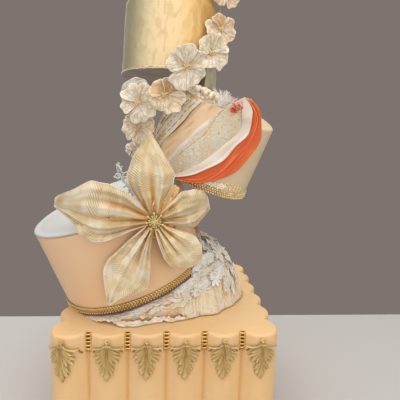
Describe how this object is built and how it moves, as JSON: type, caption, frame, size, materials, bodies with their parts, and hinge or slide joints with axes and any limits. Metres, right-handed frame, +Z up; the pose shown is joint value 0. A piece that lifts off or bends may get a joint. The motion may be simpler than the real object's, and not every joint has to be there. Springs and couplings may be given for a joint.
{
  "type": "topsy-turvy cake",
  "caption": "Topsy-turvy celebration cake: scalloped square base, round tiers tilted to either side, a gold tier on top, a large paper flower, ruffles and a trail of small flowers.",
  "frame": {"origin": "centre of the base tier's underside, on the surface it stands on", "axes": "+Z up through the tiers, -Y out of the front that carries the leaf ornaments and the big flower, +X to the right seen from that front"},
  "size_m": [0.3532, 0.3057, 0.6705],
  "materials": {
    "base_icing": "satin sugar icing, pale peach, more orange in the grooves",
    "peach_icing": "smooth satin sugar icing, peach",
    "white_icing": "smooth satin sugar icing, cool white",
    "cream_icing": "smooth satin sugar icing, cream",
    "gold_leaf": "edible gold leaf, satin, slightly crinkled",
    "gold_trim": "gold braid and beads, sparkling",
    "old_gold": "antique green gold, satin",
    "board_silver": "silver foil on cake card",
    "paper_cream": "ribbed wafer paper, cream with tan folds",
    "paper_peach": "wafer paper, peach",
    "paper_white": "wafer paper and sugar lace, off-white",
    "paper_clear": "thin clear wafer, olive grey, glossy",
    "paper_orange": "wafer paper, orange red with a paler edge",
    "pearl": "pearl sugar, lustrous"
  },
  "bodies": {
    "root": {"bark_lace": "paper_cream", "base_tier": "base_icing", "bead_strip_1": "gold_trim", "bead_strip_2": "gold_trim", "bead_strip_3": "gold_trim", "bead_strip_4": "gold_trim", "bead_strip_5": "gold_trim", "brooch": "gold_trim", "coral_bud": "paper_orange", "cream_braid": "gold_trim", "cream_tier": "cream_icing", "flower_1": "paper_cream", "flower_2": "paper_cream", "flower_3": "paper_cream", "flower_4": "paper_cream", "flower_5": "paper_cream", "flower_6": "paper_cream", "flower_7": "paper_cream", "flower_8": "paper_cream", "flower_9": "paper_cream", "flower_wire": "gold_trim", "frill_inner": "paper_orange", "frill_outer": "paper_orange", "gold_board": "board_silver", "gold_tier": "gold_leaf", "lace_sheet": "paper_white", "leaf_ornament_1": "old_gold", "leaf_ornament_2": "old_gold", "leaf_ornament_3": "old_gold", "leaf_ornament_4": "old_gold", "leaf_ornament_5": "old_gold", "leaf_ornament_6": "old_gold", "lower_neck": "cream_icing", "peach_braid": "gold_trim", "peach_sheet": "paper_peach", "peach_tier": "peach_icing", "pearl_cluster": "pearl", "petal_left": "paper_cream", "petal_low_left": "paper_cream", "petal_low_right": "paper_cream", "petal_right": "paper_cream", "petal_small": "paper_cream", "petal_up": "paper_cream", "plume": "paper_white", "ruffle_bed": "paper_white", "upper_neck": "cream_icing", "wafer_scrap": "paper_clear", "white_petal": "paper_white", "white_top": "white_icing", "wisp": "paper_white"}
  },
  "joints": []
}
